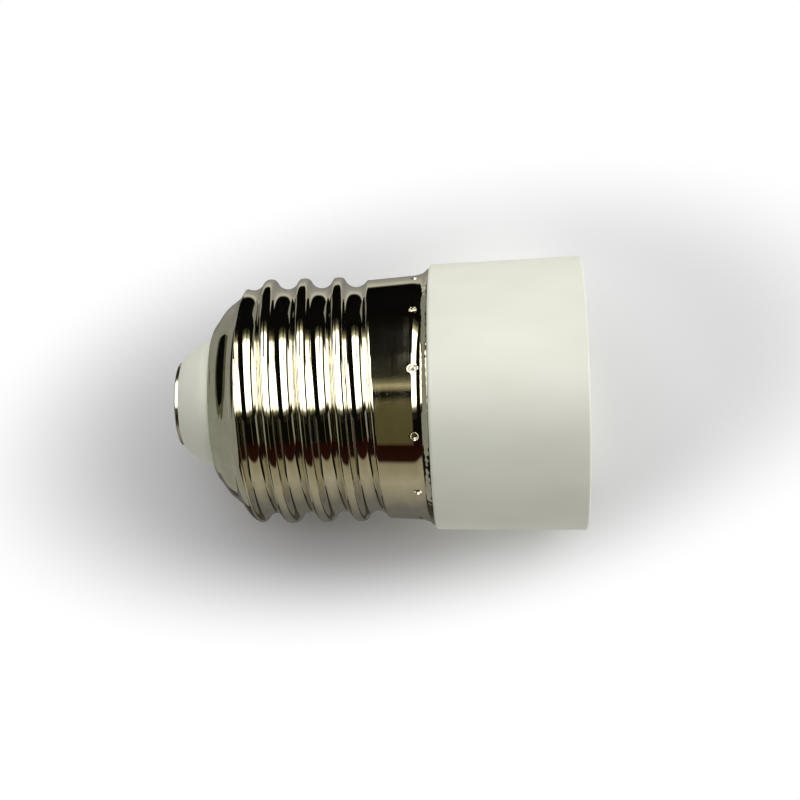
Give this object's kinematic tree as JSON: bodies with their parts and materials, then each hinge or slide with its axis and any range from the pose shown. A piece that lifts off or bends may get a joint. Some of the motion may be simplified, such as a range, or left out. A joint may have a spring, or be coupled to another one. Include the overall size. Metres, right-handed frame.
{
  "type": "lamp socket adapter",
  "caption": "Lamp socket adapter: an E27 screw cap with a centre contact on one end, and a white moulded collar round a smaller E14 lamp socket on the other.",
  "frame": {"origin": "centre of the collar's mouth rim, in the plane of the rim", "axes": "+Z along the common axis from the mouth of the lamp socket to the centre contact of the screw cap; the thread's groove starts on the -X side, and the link strip is on the +Y side"},
  "size_m": [0.0288, 0.0288, 0.0431],
  "materials": {
    "housing": "moulded white PBT, satin",
    "shell_plating": "bright nickel plate on drawn brass sheet",
    "sleeve_plating": "nickel plate on drawn brass sheet",
    "spring_strip": "rolled phosphor bronze strip",
    "tip_plating": "nickel plate on a turned brass rivet"
  },
  "bodies": {
    "adapter_body": {"housing": "housing", "screw_shell": "shell_plating", "socket_shell": "sleeve_plating", "tip_contact": "tip_plating"},
    "contact_leaf": {"contact_spring": "spring_strip"}
  },
  "joints": [
    {"name": "leaf_press", "type": "hinge", "parent": "adapter_body", "child": "contact_leaf", "pos_m": [-0.00383, 0, 0.02191], "axis": [0, -1, 0], "range_deg": [0, 20], "stiffness_Nm_per_rad": 0.03, "deforming": ["contact_spring"]}
  ]
}
